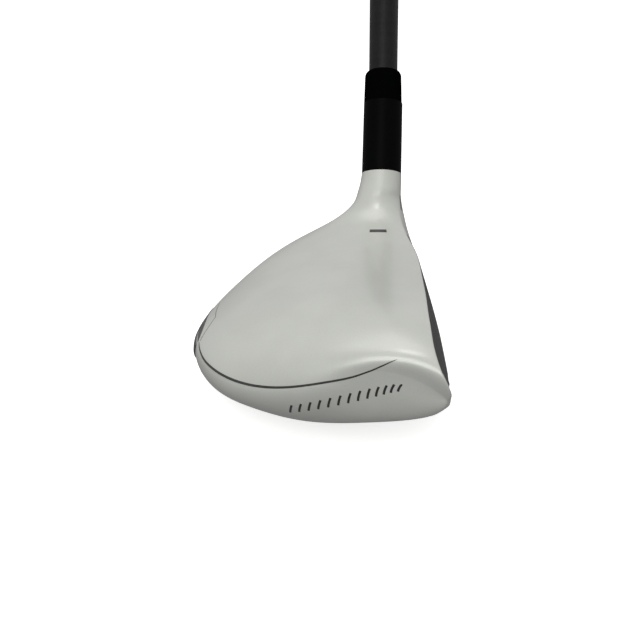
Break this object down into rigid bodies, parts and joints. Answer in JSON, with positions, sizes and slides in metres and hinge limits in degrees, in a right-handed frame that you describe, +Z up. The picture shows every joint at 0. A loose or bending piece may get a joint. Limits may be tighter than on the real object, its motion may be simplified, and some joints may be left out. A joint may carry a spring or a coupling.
{
  "type": "hybrid golf club",
  "caption": "Hybrid golf club with a rounded hollow head, screw-held adapter sleeve in the hosel, tapered shaft and grip.",
  "frame": {"origin": "the point where the hosel axis meets the ground plane with the head soled at address", "axes": "+Z up, +X toward the target, -Y toward the toe; the hosel axis leans 30 degrees from +Z toward +Y"},
  "size_m": [0.0762, 0.6006, 0.8857],
  "materials": {
    "head_paint": "pearl white gloss",
    "crown_paint": "pearl white gloss",
    "face_steel": "dark satin",
    "badge_dark": "dark grey satin",
    "liner_steel": "machined",
    "screw_steel": "dark machined",
    "washer_steel": "machined",
    "retainer_black": "matte",
    "sleeve_black": "black anodised satin",
    "ferrule_black": "satin",
    "shaft_graphite": "charcoal gloss",
    "plug_cork": "cork",
    "tape_paper": "crepe",
    "grip_rubber": "matte",
    "cap_rubber": "matte"
  },
  "bodies": {
    "shaft_assembly": {"adapter_sleeve": "sleeve_black", "ferrule_ring": "ferrule_black", "shaft": "shaft_graphite", "tip_plug": "plug_cork", "grip_tape": "tape_paper", "grip_sleeve": "grip_rubber", "grip_cap": "cap_rubber"},
    "head": {"head_shell": "head_paint", "crown_panel": "crown_paint", "face_plate": "face_steel", "rear_badge": "badge_dark", "hosel_liner": "liner_steel", "screw_washer": "washer_steel"},
    "screw": {"hosel_screw": "screw_steel", "screw_retainer": "retainer_black"}
  },
  "joints": [
    {"name": "head_release", "type": "slide", "parent": "shaft_assembly", "child": "head", "axis": [0, -0.5, -0.866], "range_m": [0, 0.0064]},
    {"name": "screw_turn", "type": "hinge", "parent": "head", "child": "screw", "pos_m": [0, 0, 0], "axis": [0, -0.5, -0.866], "range_deg": [0, 2880]}
  ],
  "couplings": [
    {"joint": "screw_turn", "follows": "head_release", "rad_per_m": 7854}
  ]
}
